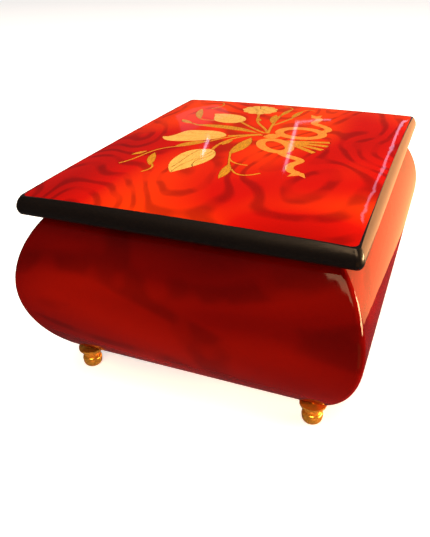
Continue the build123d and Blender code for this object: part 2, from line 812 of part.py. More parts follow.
def wheel_sketch(module, teeth, play, hole, start):
    """A toothed wheel round the sketch origin with one tooth at the start angle."""
    tooth = tooth_profile(module, teeth, play)
    with BuildSketch(mode=Mode.PRIVATE) as wheel:
        Circle(module * teeth / 2 - 1.15 * module)
        with PolarLocations(0, teeth, start_angle=start):
            add(tooth)
        Circle(hole, mode=Mode.SUBTRACT)
    return wheel.sketch


def wheel_along_y(module, teeth, play, hole, start, x, y, z, face):
    """A toothed wheel on an axis along Y, from y to y + face."""
    with BuildPart(mode=Mode.PRIVATE) as wheel:
        with BuildSketch(Plane((x, y, z), x_dir=(1, 0, 0), z_dir=(0, 1, 0))):
            add(wheel_sketch(module, teeth, play, hole, start))
        extrude(amount=face)
    return wheel.part


# ---------------------------------------------------------------- movement: frame
with BuildPart() as bedplate:
    add(block(bed_left, bed_front, bed_under, bedplate_width, bedplate_length, bedplate_thickness))
    chamfer(bedplate.edges().filter_by(Axis.Z), 1.6)
    fillet(bedplate.faces().sort_by(Axis.Z)[-1].edges(), 0.4)
    with Locations((movement_x, drum_y, bed_under)):
        Cylinder(arbor_hole, 4 * bedplate_thickness, mode=Mode.SUBTRACT)
    with Locations([(x, y, bed_under) for x, y in bed_screws]):
        Cylinder(bed_screw_radius, 1.4 * bedplate_thickness, mode=Mode.SUBTRACT)
save(bedplate, "bedplate")

bed_screw = countersunk_screw(
    bed_screw_radius, bed_head_radius, base_thickness + 0.5 * bedplate_thickness - bed_screw_radius
)
with BuildPart() as movement_screws:
    for x, y in bed_screws:
        with Locations(Location((x, y, underside), (180, 0, 0))):
            add(bed_screw)
save(movement_screws, "movement_screws")

bridge_width = 12.0
for bridge_name, bridge_y, x_low in (
    ("front_bridge", front_bridge_y, movement_x - bridge_width / 2),
    ("rear_bridge", rear_bridge_y, wheel_x - 2.4),
):
    with BuildPart() as bridge:
        top = shaft_z + 3.2 if bridge_name == "front_bridge" else wheel_z + 2.4
        width = movement_x + bridge_width / 2 - x_low
        add(block(x_low, bridge_y, bed_top, width, bridge_thickness, top - bed_top))
        fillet(bridge.faces().sort_by(Axis.Z)[-1].edges().filter_by(Axis.Y), 2.0)
        with Locations((movement_x, bridge_y, shaft_z)):
            Cylinder(
                shaft_radius + running_clearance, 4 * bridge_thickness,
                rotation=(90, 0, 0), mode=Mode.SUBTRACT,
            )
        if bridge_name == "rear_bridge":
            with Locations((wheel_x, bridge_y, wheel_z)):
                Cylinder(
                    pivot_radius + running_clearance, 4 * bridge_thickness,
                    rotation=(90, 0, 0), mode=Mode.SUBTRACT,
                )
    save(bridge, bridge_name)

comb_top = shaft_z + comb_thickness / 2
heel = 5.5
comb_width = note_count * note_pitch
comb_screw_x = comb_heel_x + heel / 2
comb_screws_y = [comb_y + comb_width * share for share in (0.2, 0.8)]
comb_screw_radius = 0.8
with BuildPart() as comb_block:
    add(block(
        comb_heel_x, comb_y, bed_top, heel, comb_width, shaft_z - comb_thickness / 2 - bed_top
    ))
    with Locations([(comb_screw_x, y, comb_top) for y in comb_screws_y]):
        Cylinder(comb_screw_radius, 2 * 4.0, mode=Mode.SUBTRACT)
save(comb_block, "comb_block")

with BuildPart() as comb:
    with BuildSketch(Plane.XY.offset(shaft_z - comb_thickness / 2)):
        add(Pos(comb_heel_x, comb_y) * Rectangle(
            comb_length, comb_width, align=(Align.MIN, Align.MIN), mode=Mode.PRIVATE
        ))
        for k in range(1, note_count):
            root_x = comb_heel_x + heel + 0.6 + 4.5 * k / note_count
            y = comb_y + k * note_pitch
            with Locations((root_x, y)):
                Rectangle(
                    comb_length, tooth_slot, align=(Align.MIN, Align.CENTER), mode=Mode.SUBTRACT
                )
        with Locations([(comb_screw_x, y) for y in comb_screws_y]):
            Circle(comb_screw_radius, mode=Mode.SUBTRACT)
    extrude(amount=comb_thickness)
save(comb, "comb")

with BuildPart() as comb_screws:
    for y in comb_screws_y:
        with Locations((comb_screw_x, y, comb_top)):
            Cylinder(comb_screw_radius, 3.5, align=(Align.CENTER, Align.CENTER, Align.MAX))
            Cylinder(1.7 * comb_screw_radius, 1.0, align=(Align.CENTER, Align.CENTER, Align.MIN))
        add(
            block(comb_screw_x - 2, y - 0.18, comb_top + 0.6, 4, 0.36, 1), mode=Mode.SUBTRACT
        )
save(comb_screws, "comb_screws")

# leads that tune the bass teeth hang under their tips
with BuildPart() as comb_leads:
    for k in range(7):
        size = 3.2 - 0.3 * k
        add(block(
            comb_tip_x - 1.4 - size, comb_y + k * note_pitch + tooth_slot,
            shaft_z - comb_thickness / 2 - 0.55 * size,
            size, note_pitch - 2 * tooth_slot, 0.55 * size,
        ))
save(comb_leads, "comb_leads")

# ---------------------------------------------------------------- movement: cylinder
with BuildPart() as cylinder:
    with BuildSketch(Plane((movement_x, cylinder_y, shaft_z), x_dir=(1, 0, 0), z_dir=(0, 1, 0))):
        Circle(cylinder_radius)
        Circle(shaft_radius, mode=Mode.SUBTRACT)
    extrude(amount=cylinder_length)
    with BuildSketch(Plane((movement_x, cylinder_y + 1.2, shaft_z), x_dir=(1, 0, 0), z_dir=(0, 1, 0))):
        Circle(cylinder_radius - cylinder_wall)
        Circle(shaft_radius, mode=Mode.SUBTRACT)
    extrude(amount=cylinder_length - 2.4, mode=Mode.SUBTRACT)
    pins = []
    for note in range(note_count):
        y = comb_y + (note + 0.5) * note_pitch
        for k in range(pins_per_note):
            turn = 360 * (k + 0.31 * sin(3.7 * note + 2.3 * k)) / pins_per_note + 47 * note
            out = cylinder_radius - cylinder_wall / 2
            place = Pos(movement_x, y, shaft_z) * Rot(0, turn, 0) * Pos(out, 0, 0)
            length = pin_height + cylinder_wall / 2
            pins.append(place * Cylinder(
                pin_radius, length, rotation=(0, 90, 0),
                align=(Align.CENTER, Align.CENTER, Align.MIN), mode=Mode.PRIVATE,
            ))
    add(pins)
save(cylinder, "cylinder")

shaft_front = drum_y + drum_radius + 0.3
with BuildPart() as cylinder_shaft:
    with BuildSketch(Plane((movement_x, shaft_front, shaft_z), x_dir=(1, 0, 0), z_dir=(0, 1, 0))):
        Circle(shaft_radius)
    extrude(amount=rear_bridge_y + bridge_thickness + 0.6 - shaft_front)
save(cylinder_shaft, "cylinder_shaft")

crown_play = 0.16
train_play = 0.08
with BuildPart() as cylinder_pinion:
    add(wheel_along_y(
        crown_module, pinion_teeth, crown_play, shaft_radius, 90,
        movement_x, drum_y + crown_radius - crown_face / 2, shaft_z, crown_face,
    ))
save(cylinder_pinion, "cylinder_pinion")

mesh_angle = 180 + train_rise  # from the cylinder towards the governor wheel, seen from behind
with BuildPart() as train_gear:
    add(wheel_along_y(
        train_module, train_gear_teeth, train_play, shaft_radius, mesh_angle,
        movement_x, train_gear_y, shaft_z, train_face,
    ))
save(train_gear, "train_gear")

# ---------------------------------------------------------------- movement: spring barrel
with BuildPart() as spring_barrel:
    with BuildSketch(Plane.XY.offset(ring_under)):
        with Locations((movement_x, drum_y)):
            Circle(ring_outer)
    extrude(amount=ring_thickness)
    with BuildSketch(Plane.XY.offset(ring_top)):
        with Locations((movement_x, drum_y)):
            Circle(drum_radius)
            Circle(drum_radius - drum_wall, mode=Mode.SUBTRACT)
    extrude(amount=drum_height - ring_thickness)
    tooth_half = pi * crown_module / 4 - crown_play
    slope = tan(radians(20))
    root_half = tooth_half + 1.2 * crown_module * slope
    tip_half = tooth_half - 0.8 * crown_module * slope
    tooth_height = 2.0 * crown_module
    with BuildPart(mode=Mode.PRIVATE) as crown_tooth:
        with BuildSketch(Plane.YZ.offset(crown_radius - crown_face / 2)):
            with BuildLine():
                Polyline(
                    (-root_half, -0.3), (-root_half, 0), (-tip_half, tooth_height),
                    (tip_half, tooth_height), (root_half, 0), (root_half, -0.3), close=True,
                )
            make_face()
        extrude(amount=0.9 * crown_face)
    crown = [
        Pos(movement_x, drum_y, ring_top) * Rot(0, 0, 90 + 360 * (k + 0.5) / crown_teeth)
        * crown_tooth.part
        for k in range(crown_teeth)
    ]
    add(crown)
    with Locations((movement_x, drum_y, ring_under)):
        Cylinder(arbor_hole, 4 * ring_thickness, mode=Mode.SUBTRACT)
save(spring_barrel, "spring_barrel")

with BuildPart() as barrel_cap:
    with Locations((movement_x, drum_y, drum_top)):
        Cylinder(drum_radius, 0.9, align=(Align.CENTER, Align.CENTER, Align.MIN))
        Cylinder(arbor_hole, 4.0, mode=Mode.SUBTRACT)
    fillet(barrel_cap.faces().sort_by(Axis.Z)[-1].edges().sort_by(SortBy.LENGTH)[-1], 0.4)
save(barrel_cap, "barrel_cap")

# a flat spiral, hooked to the drum outside and close round the arbor inside
spring_inner = arbor_radius + 0.5
spring_outer = drum_radius - drum_wall - 0.4
spring_turns = 6
spring_strip = 0.35


def spiral(grow):
    steps = 12 * spring_turns
    points = []
    for k in range(steps + 1):
        r = spring_inner + grow + (spring_outer - spring_inner) * k / steps
        a = 2 * pi * spring_turns * k / steps
        points.append((movement_x + r * cos(a), drum_y + r * sin(a)))
    return points


with BuildPart() as mainspring:
    with BuildSketch(Plane.XY.offset(ring_top + 0.3)):
        with BuildLine():
            inside, outside = spiral(0), spiral(spring_strip)
            Spline(*inside)
            Spline(*outside)
            Line(inside[0], outside[0])
            Line(inside[-1], outside[-1])
        make_face()
    extrude(amount=drum_height - ring_thickness - 0.6)
save(mainspring, "mainspring")

with BuildPart() as winding_arbor:
    arbor_low = underside - 3.4
    with Locations((movement_x, drum_y, arbor_low)):
        Cylinder(
            arbor_radius, drum_top + 1.4 - arbor_low, align=(Align.CENTER, Align.CENTER, Align.MIN)
        )
    chamfer(winding_arbor.faces().sort_by(Axis.Z)[-1].edges(), 0.3)
save(winding_arbor, "winding_arbor")

with BuildPart() as ratchet_wheel:
    with BuildSketch(Plane((movement_x, drum_y, bed_top + 0.2))):
        with BuildLine():
            corners = []
            for k in range(ratchet_teeth):
                a = 2 * pi * k / ratchet_teeth
                b = a + 2 * pi / ratchet_teeth * 0.86
                corners.append((0.8 * ratchet_radius * cos(a), 0.8 * ratchet_radius * sin(a)))
                corners.append((ratchet_radius * cos(b), ratchet_radius * sin(b)))
            Polyline(*corners, close=True)
        make_face()
        Circle(arbor_radius, mode=Mode.SUBTRACT)
    extrude(amount=ratchet_thickness)
save(ratchet_wheel, "ratchet_wheel")

with BuildPart() as click:
    with BuildSketch(Plane.XY.offset(bed_top)):
        with BuildLine():
            tip_y = drum_y - ratchet_radius - 0.12
            Polyline(
                (movement_x + 0.4, tip_y), (movement_x + 5.2, drum_y - 7.0),
                (movement_x + 4.4, drum_y - 8.4), (movement_x - 0.2, tip_y - 0.7), close=True,
            )
        make_face()
        with Locations((movement_x + 4.8, drum_y - 7.7)):
            Circle(1.2)
    extrude(amount=ratchet_thickness)
save(click, "click")

with BuildPart() as winding_key:
    key_top = underside - 0.5
    with Locations((movement_x, drum_y, key_top)):
        Cylinder(3.2, 3.6, align=(Align.CENTER, Align.CENTER, Align.MAX))
    with BuildSketch(Plane.XZ.offset(-drum_y)):
        with Locations((movement_x, key_top - 2.6)):
            RectangleRounded(
                key_span, key_height - 2.6, 1.5, align=(Align.CENTER, Align.MAX)
            )
    extrude(amount=0.8, both=True)
    with Locations((movement_x, drum_y, key_top)):
        Cylinder(arbor_radius, 2 * (key_top - arbor_low), mode=Mode.SUBTRACT)
save(winding_key, "winding_key")

# ---------------------------------------------------------------- movement: governor
with BuildPart() as governor_wheel:
    pinion_start = mesh_angle + 180 + 180 / train_pinion_teeth
    add(wheel_along_y(
        train_module, train_pinion_teeth, train_play, 0.1, pinion_start,
        wheel_x, train_gear_y, wheel_z, train_face,
    ))
    add(wheel_along_y(
        train_module, worm_wheel_teeth, 2 * train_play, 0.1, 180,
        wheel_x, wheel_y, wheel_z, train_face,
    ))
    with Locations(Plane((wheel_x, train_gear_y - 0.3, wheel_z), x_dir=(1, 0, 0), z_dir=(0, 1, 0))):
        Cylinder(
            pivot_radius, governor_wall_y + 0.8 - train_gear_y,
            align=(Align.CENTER, Align.CENTER, Align.MIN),
        )
save(governor_wheel, "governor_wheel")

worm_lead = pi * train_module
worm_turns = 5  # an odd number, so that a wheel tooth stands between two threads
worm_root = worm_pitch_radius - 1.15 * train_module
arm_thickness = 1.2
low_arm_z = wheel_z - 0.5 * worm_lead * worm_turns - 2.4
high_arm_z = wheel_z + 0.5 * worm_lead * worm_turns + 1.6
fan_low = high_arm_z + arm_thickness + 0.8
disc_z = fan_low + fan_blade_height + 0.4
disc_thickness = 0.7
with BuildPart() as governor_bracket:
    bracket_left, bracket_right = fan_x - 3.4, wheel_x + 3.0
    add(block(
        bracket_left, governor_wall_y, bed_top,
        bracket_right - bracket_left, 1.2, high_arm_z + arm_thickness - bed_top,
    ))
    for z in (low_arm_z, high_arm_z):
        add(block(
            bracket_left, fan_y - 2.6, z, 6.2, governor_wall_y - fan_y + 2.6, arm_thickness
        ))
    with Locations((fan_x, fan_y, high_arm_z)):
        Cylinder(pivot_radius + running_clearance, 60, mode=Mode.SUBTRACT)
    with Locations((wheel_x, governor_wall_y, wheel_z)):
        Cylinder(
            pivot_radius + running_clearance, 4, rotation=(90, 0, 0), mode=Mode.SUBTRACT
        )
save(governor_bracket, "governor_bracket")

worm_low = wheel_z - 0.5 * worm_lead * worm_turns
with BuildPart() as fan_shaft:
    with Locations((fan_x, fan_y, low_arm_z + 0.1)):
        Cylinder(
            pivot_radius, disc_z + disc_thickness - low_arm_z,
            align=(Align.CENTER, Align.CENTER, Align.MIN),
        )
    with Locations((fan_x, fan_y, worm_low - 0.5)):
        Cylinder(
            worm_root, worm_lead * worm_turns + 1.0, align=(Align.CENTER, Align.CENTER, Align.MIN)
        )
    thread_half = pi * train_module / 4 - 2 * train_play
    with BuildPart(mode=Mode.PRIVATE) as thread:
        with BuildLine() as helix:
            Helix(worm_lead, worm_lead * worm_turns, worm_root, center=(fan_x, fan_y, worm_low))
        start = helix.line @ 0
        with BuildSketch(Plane(start, x_dir=(1, 0, 0), z_dir=(0, -1, 0))):
            with BuildLine():
                Polyline(
                    (-0.15, -thread_half - 0.12), (0, -thread_half - 0.12),
                    (1.95 * train_module, -0.5 * thread_half), (1.95 * train_module, 0.5 * thread_half),
                    (0, thread_half + 0.12), (-0.15, thread_half + 0.12), close=True,
                )
            make_face()
        sweep(path=helix.line, is_frenet=True)
    add(thread.part)
save(fan_shaft, "fan_shaft")

with BuildPart() as fan:
    with Locations((fan_x, fan_y, fan_low)):
        Cylinder(1.1, fan_blade_height, align=(Align.CENTER, Align.CENTER, Align.MIN))
        Box(fan_span, 0.4, fan_blade_height, align=(Align.CENTER, Align.CENTER, Align.MIN))
    with Locations((fan_x, fan_y, disc_z)):
        Cylinder(2.4, disc_thickness, align=(Align.CENTER, Align.CENTER, Align.MIN))
    with Locations((fan_x, fan_y, disc_z - 0.5)):
        Cylinder(1.1, 0.6, align=(Align.CENTER, Align.CENTER, Align.MIN))
    with Locations((fan_x, fan_y, fan_low)):
        Cylinder(
            pivot_radius, 3 * fan_blade_height, align=(Align.CENTER, Align.CENTER, Align.CENTER),
            mode=Mode.SUBTRACT,
        )
save(fan, "fan")

# ---------------------------------------------------------------- lid stop and cover
disc_top = disc_z + disc_thickness
guide_z = disc_top + 0.95 + plunger_travel + 0.25
guide_hole = plunger_radius + 2 * running_clearance
collar_z = guide_z + 1.0 + 4.0
with BuildPart() as stop_bracket:
    post_y = governor_wall_y + 1.2 + 0.4
    add(block(fan_x - 3.0, post_y, bed_top, 6.0, 1.0, guide_z + 1.0 - bed_top))
    add(block(fan_x - 3.0, fan_y - 3.0, guide_z, 6.0, post_y + 1.0 - fan_y + 3.0, 1.0))
    with Locations((fan_x, fan_y, guide_z)):
        Cylinder(guide_hole, 6.0, mode=Mode.SUBTRACT)
save(stop_bracket, "stop_bracket")

plunger_top = lid_under - pad_thickness - 0.15
with BuildPart() as stop_plunger:
    with Locations((fan_x, fan_y, disc_top + 0.15)):
        Cylinder(1.6, 0.8, align=(Align.CENTER, Align.CENTER, Align.MIN))
        Cylinder(
            plunger_radius, plunger_top - disc_top - 0.15,
            align=(Align.CENTER, Align.CENTER, Align.MIN),
        )
    with Locations((fan_x, fan_y, collar_z)):
        Cylinder(collar_radius, 1.0, align=(Align.CENTER, Align.CENTER, Align.MIN))
    fillet(stop_plunger.faces().sort_by(Axis.Z)[-1].edges(), 0.5)
save(stop_plunger, "stop_plunger")

spring_low = guide_z + 1.0 + 0.05
spring_height = collar_z - spring_low - 0.05
with BuildPart() as plunger_spring:
    coils = 4
    rise = (spring_height - 2 * spring_wire) / coils
    with BuildLine() as coil:
        Helix(
            rise, rise * coils, collar_radius - 2 * spring_wire,
            center=(fan_x, fan_y, spring_low + spring_wire),
        )
    with BuildSketch(Plane(coil.line @ 0, z_dir=coil.line % 0)):
        Circle(spring_wire)
    sweep(path=coil.line, is_frenet=True)
save(plunger_spring, "plunger_spring")

with BuildPart() as movement_cover:
    add(block(
        bay_left + 0.3, -inner_width / 2 + 0.3, cover_under,
        bay_length - 0.6, inner_width - 0.6, cover_thickness,
    ))
    fillet(movement_cover.edges().filter_by(Axis.Z), 1.0)
    with Locations((fan_x, fan_y, cover_under)):
        Cylinder(guide_hole, 6 * cover_thickness, mode=Mode.SUBTRACT)
save(movement_cover, "movement_cover")

print("hinge axis y, z:", knuckle_y, knuckle_z)
print("cylinder axis x, z:", movement_x, shaft_z, "barrel y:", drum_y)
print("governor wheel x, z:", wheel_x, wheel_z, "fan x, y:", fan_x, fan_y)
print("collar top:", collar_z + 1.0, "cover under:", cover_under, "plunger top:", plunger_top)
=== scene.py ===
import bpy, bmesh
from math import radians, sin, cos, pi
from mathutils import Matrix, Vector, noise


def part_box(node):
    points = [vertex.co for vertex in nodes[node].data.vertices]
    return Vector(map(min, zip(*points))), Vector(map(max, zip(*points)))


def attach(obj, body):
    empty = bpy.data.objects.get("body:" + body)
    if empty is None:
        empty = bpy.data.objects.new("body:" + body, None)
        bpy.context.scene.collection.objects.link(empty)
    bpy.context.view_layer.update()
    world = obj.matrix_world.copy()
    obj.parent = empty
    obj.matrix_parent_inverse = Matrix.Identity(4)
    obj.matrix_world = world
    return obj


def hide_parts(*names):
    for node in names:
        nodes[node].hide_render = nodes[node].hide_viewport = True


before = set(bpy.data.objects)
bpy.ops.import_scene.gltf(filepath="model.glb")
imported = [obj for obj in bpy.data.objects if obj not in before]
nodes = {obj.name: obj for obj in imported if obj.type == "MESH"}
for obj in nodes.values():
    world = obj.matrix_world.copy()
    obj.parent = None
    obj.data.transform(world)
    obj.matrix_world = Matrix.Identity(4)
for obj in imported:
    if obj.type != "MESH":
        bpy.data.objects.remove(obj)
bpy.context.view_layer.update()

print("frame loaded:", len(nodes), "nodes")

# camera and studio
cameraSetup = {
    "place": (-0.2116, -0.0732, 0.1479),
    "heading": 22.79,  # degrees from +X towards +Y
    "pitch": -29.53,
    "roll": -1.34,
    "lens": 38.64,
}


def makeCamera(s):
    h, p, r = radians(s["heading"]), radians(s["pitch"]), radians(s["roll"])
    ahead = Vector((cos(p) * cos(h), cos(p) * sin(h), sin(p)))
    right = ahead.cross(Vector((0, 0, 1))).normalized()
    up = right.cross(ahead)
    right, up = right * cos(r) + up * sin(r), up * cos(r) - right * sin(r)
    data = bpy.data.cameras.new("camera")
    data.lens, data.sensor_width, data.sensor_fit = s["lens"], 36, "AUTO"
    data.clip_start = 0.01
    cam = bpy.data.objects.new("camera", data)
    turn = Matrix((right, up, -ahead)).transposed().to_4x4()
    cam.matrix_world = Matrix.Translation(s["place"]) @ turn
    bpy.context.scene.collection.objects.link(cam)
    bpy.context.scene.camera = cam


studio = {
    "worldColour": "#EDE6E8",
    "worldStrength": 0.12,
    "floorColour": "#FFFFFF",
    "floorGlow": 0.62,
}
lamps = {  # place, aim, size x, size y, watts, colour, turn in degrees
    "overhead": ((-0.15, 0.05, 1.5), (0, 0, 0.05), 1.3, 1.3, 21, "#FFF3E6", 0),
    "warmLeft": ((-0.75, -0.15, 0.75), (-0.05, 0, 0.06), 0.5, 0.5, 7.0, "#FFD2A0", 0),
    "rightWindow": ((0.22, -0.80, 0.09), (0.03, 0, 0.045), 0.7, 0.18, 26, "#FFCE94", 0),
    "warmTable": ((0.75, -0.30, -0.06), (0, -0.06, 0.045), 0.55, 0.5, 3.0, "#FFA868", 0),
    "lowAmber": ((-0.65, -0.30, -0.25), (-0.06, -0.03, 0.01), 0.5, 0.4, 0.50, "#FFB060", 0),
    "backHaze": ((0.94, 0.44, 0.30), (0, 0, 0.075), 0.12, 0.10, 0.012, "#D8CCFF", 20),
    "edgeStreak": ((1.0, -0.03, 0.44), (0, -0.05, 0.07), 0.012, 0.34, 0.045, "#E2D8FF", 0),
    "arcUpper": ((0.928, 0.228, 0.380), (0, 0, 0.075), 0.006, 0.11, 0.008, "#E2D8FF", -12),
    "arcLower": ((0.996, 0.194, 0.330), (0, 0, 0.075), 0.076, 0.005, 0.004, "#E2D8FF", 18),
    "shortStreak": ((0.868, 0.396, 0.380), (0, 0, 0.075), 0.005, 0.04, 0.004, "#E2D8FF", -24),
}


def hexToLinear(code):
    out = []
    for i in (1, 3, 5):
        c = int(code[i:i + 2], 16) / 255
        out.append(c / 12.92 if c <= 0.04045 else ((c + 0.055) / 1.055) ** 2.4)
    return (*out, 1.0)


def makeLamps():
    for name, (place, aim, sizeX, sizeY, watts, colour, turn) in lamps.items():
        data = bpy.data.lights.new(name, "AREA")
        data.shape, data.size, data.size_y = "RECTANGLE", sizeX, sizeY
        data.energy, data.color = watts, hexToLinear(colour)[:3]
        lamp = bpy.data.objects.new(name, data)
        lamp.location = place
        facing = (Vector(aim) - Vector(place)).to_track_quat("-Z", "Y").to_matrix()
        lamp.rotation_euler = (facing @ Matrix.Rotation(radians(turn), 3, "Z")).to_euler()
        bpy.context.scene.collection.objects.link(lamp)


def makeWorld():
    world = bpy.data.worlds.new("studio")
    bpy.context.scene.world = world
    world.use_nodes = True
    back = world.node_tree.nodes["Background"]
    back.inputs["Color"].default_value = hexToLinear(studio["worldColour"])
    back.inputs["Strength"].default_value = studio["worldStrength"]


# small helpers for materials
def newMaterial(name):
    mat = bpy.data.materials.new(name)
    mat.use_nodes = True
    tree = mat.node_tree
    return mat, tree, tree.nodes["Principled BSDF"]


def addNode(tree, kind, inputs=None, **settings):
    made = tree.nodes.new(kind)
    for key, value in settings.items():
        setattr(made, key, value)
    for key, value in (inputs or {}).items():
        if isinstance(value, bpy.types.NodeSocket):
            tree.links.new(value, made.inputs[key])
        else:
            made.inputs[key].default_value = value
    return made


def objectCoords(tree, scale, turn=(0, 0, 0), shift=(0, 0, 0)):
    coord = addNode(tree, "ShaderNodeTexCoord")
    mapping = addNode(tree, "ShaderNodeMapping", {"Vector": coord.outputs["Object"]})
    mapping.inputs["Scale"].default_value = scale
    mapping.inputs["Rotation"].default_value = [radians(a) for a in turn]
    mapping.inputs["Location"].default_value = shift
    return mapping.outputs["Vector"]


def ramp(tree, value, stops, interpolation="LINEAR"):
    made = addNode(tree, "ShaderNodeValToRGB", {"Fac": value})
    band = made.color_ramp
    band.interpolation = interpolation
    while len(band.elements) < len(stops):
        band.elements.new(0.5)
    for element, (place, colour) in zip(band.elements, stops):
        element.position = place
        element.color = hexToLinear(colour) if isinstance(colour, str) else (colour,) * 3 + (1,)
    return made.outputs["Color"]


def mathNode(tree, operation, a, b=0.0):
    return addNode(tree, "ShaderNodeMath", {0: a, 1: b}, operation=operation).outputs[0]


def mixColour(tree, blend, factor, a, b):
    made = addNode(tree, "ShaderNodeMix", data_type="RGBA", blend_type=blend)
    for key, value in ((0, factor), (6, a), (7, b)):
        if isinstance(value, bpy.types.NodeSocket):
            tree.links.new(value, made.inputs[key])
        else:
            made.inputs[key].default_value = value
    return made.outputs[2]


def bump(tree, height, strength, distance):
    made = addNode(tree, "ShaderNodeBump", {"Height": height})
    made.inputs["Strength"].default_value = strength
    made.inputs["Distance"].default_value = distance
    return made.outputs["Normal"]


# wood and lacquer
burl = {  # cloud and figure are patches per metre, lines is dark lines across one patch
    "lid": {"dark": "#A00400", "mid": "#C60E00", "light": "#FA4200", "cloud": (11, 16, 20),
            "figure": (11, 17, 11), "lines": 19.0, "lineDepth": 0.40, "coat": 0.5, "coatIor": 1.36},
    # side: the lid's dyed burl, a little darker, and its colours darkened much further as painted
    # shade on the upright sides
    "side": {"dark": "#440100", "mid": "#5E0300", "light": "#7E0A00", "cloud": (9, 9, 30),
             "figure": (5, 5, 24), "lines": 8.0, "lineDepth": 0.32, "coat": 0.6, "coatIor": 1.32},
}


def burlVeneer(name, look):
    # sliced burl, dyed and polished under clear polyester: soft clouds crossed by wavy growth lines
    mat, tree, shader = newMaterial(name)
    cloud = addNode(tree, "ShaderNodeTexNoise", {
        "Vector": objectCoords(tree, look["cloud"], shift=(3, 1, 2)), "Scale": 1.0,
        "Detail": 1.2, "Distortion": 0.5})
    tone = ramp(tree, cloud.outputs[0], [(0.32, look["dark"]), (0.5, look["mid"]),
                                         (0.68, look["light"])])
    figure = addNode(tree, "ShaderNodeTexNoise", {
        "Vector": objectCoords(tree, look["figure"]), "Scale": 1.0, "Detail": 2.4,
        "Roughness": 0.32, "Distortion": 0.35})
    turns = mathNode(tree, "MULTIPLY", figure.outputs[0], look["lines"] * 2 * pi)
    wave = mathNode(tree, "SINE", turns)
    raised = addNode(tree, "ShaderNodeMapRange", {0: wave, 1: -1.0, 2: 1.0})
    shade = ramp(tree, raised.outputs[0], [(0.0, 1.0 - look["lineDepth"]), (0.62, 1.0)], "EASE")
    patch = addNode(tree, "ShaderNodeTexNoise", {
        "Vector": objectCoords(tree, (19, 19, 19), shift=(7, 4, 0)), "Detail": 0.0})
    strength = ramp(tree, patch.outputs[0], [(0.34, 0.25), (0.52, 1.0)])
    colour = mixColour(tree, "MULTIPLY", strength, tone, shade)
    pores = addNode(tree, "ShaderNodeTexNoise", {  # open pores, 0.7 by 2.4 mm
        "Vector": objectCoords(tree, (1500, 420, 1500), turn=(0, 0, 24)), "Detail": 1.0})
    flecks = ramp(tree, pores.outputs[0], [(0.30, 0.80), (0.42, 1.0)])
    colour = mixColour(tree, "MULTIPLY", 0.5, colour, flecks)
    tree.links.new(colour, shader.inputs["Base Color"])
    shader.inputs["Roughness"].default_value = 0.5
    shader.inputs["Specular IOR Level"].default_value = 0.0
    shader.inputs["Coat Weight"].default_value = look["coat"]
    shader.inputs["Coat IOR"].default_value = look["coatIor"]
    shader.inputs["Coat Roughness"].default_value = 0.04
    return mat


def plainVeneer(name, dark, light, grain, turn):
    # knife-cut veneer polished with the lid: straight streaks about 1 mm wide, laid at its own angle
    mat, tree, shader = newMaterial(name)
    streak = addNode(tree, "ShaderNodeTexNoise", {
        "Vector": objectCoords(tree, (90, grain, 90), turn=(0, 0, turn)), "Detail": 3.0,
        "Distortion": 0.4})
    colour = ramp(tree, streak.outputs[0], [(0.3, dark), (0.62, light)])
    tree.links.new(colour, shader.inputs["Base Color"])
    shader.inputs["Roughness"].default_value = 0.45
    shader.inputs["Specular IOR Level"].default_value = 0.1
    shader.inputs["Coat Weight"].default_value = 0.6
    shader.inputs["Coat IOR"].default_value = 1.38
    shader.inputs["Coat Roughness"].default_value = 0.05
    return mat


def blackLacquer():
    # ebonised edge: brushed black lacquer, a little rubbed, so it shines softly
    mat, tree, shader = newMaterial("blackLacquer")
    rub = addNode(tree, "ShaderNodeTexNoise", {
        "Vector": objectCoords(tree, (260, 260, 900)), "Detail": 4.0})
    colour = ramp(tree, rub.outputs[0], [(0.4, "#040201"), (0.75, "#130B06")])
    tree.links.new(colour, shader.inputs["Base Color"])
    shader.inputs["Roughness"].default_value = 0.4
    shader.inputs["Specular IOR Level"].default_value = 0.15
    shader.inputs["Coat Weight"].default_value = 0.45
    shader.inputs["Coat IOR"].default_value = 1.35
    shader.inputs["Coat Roughness"].default_value = 0.12
    return mat


def darkWood():
    # stained walnut, planed: long grain 1 to 2 mm wide, oiled and not polished
    mat, tree, shader = newMaterial("stainedWalnut")
    grain = addNode(tree, "ShaderNodeTexNoise", {
        "Vector": objectCoords(tree, (700, 60, 700)), "Detail": 4.0, "Distortion": 0.6})
    tree.links.new(ramp(tree, grain.outputs[0], [(0.35, "#220805"), (0.68, "#4A1A10")]),
                   shader.inputs["Base Color"])
    tree.links.new(bump(tree, grain.outputs[0], 0.3, 0.0002), shader.inputs["Normal"])
    shader.inputs["Roughness"].default_value = 0.42
    return mat


# metals, plastics and cloth
# turned and polished brass, lacquered die-cast zinc, ground steel and cast lead
metals = {  # colour, shadow colour, roughness, marks per metre (coarser than real, so they show)
    "polishedBrass": ("#F0BC62", "#C98A2C", 0.16, (900, 900, 120)),
    "goldLacqueredZinc": ("#D9B366", "#B48A3E", 0.34, (240, 240, 240)),
    "groundSteel": ("#C8C9CC", "#9A9CA2", 0.26, (2400, 140, 2400)),
    "dullLead": ("#7C7E84", "#5A5C62", 0.55, (600, 600, 600)),
}


def metal(name, light, dark, rough, scale, metallic=1.0):
    mat, tree, shader = newMaterial(name)
    marks = addNode(tree, "ShaderNodeTexNoise", {
        "Vector": objectCoords(tree, scale), "Detail": 4.0})
    tree.links.new(ramp(tree, marks.outputs[0], [(0.3, dark), (0.6, light)]),
                   shader.inputs["Base Color"])
    spread = addNode(tree, "ShaderNodeMapRange", {0: marks.outputs[0], 3: rough * 0.8, 4: rough * 1.3})
    tree.links.new(spread.outputs[0], shader.inputs["Roughness"])
    tree.links.new(bump(tree, marks.outputs[0], 0.12, 0.00004), shader.inputs["Normal"])
    shader.inputs["Metallic"].default_value = metallic
    return mat


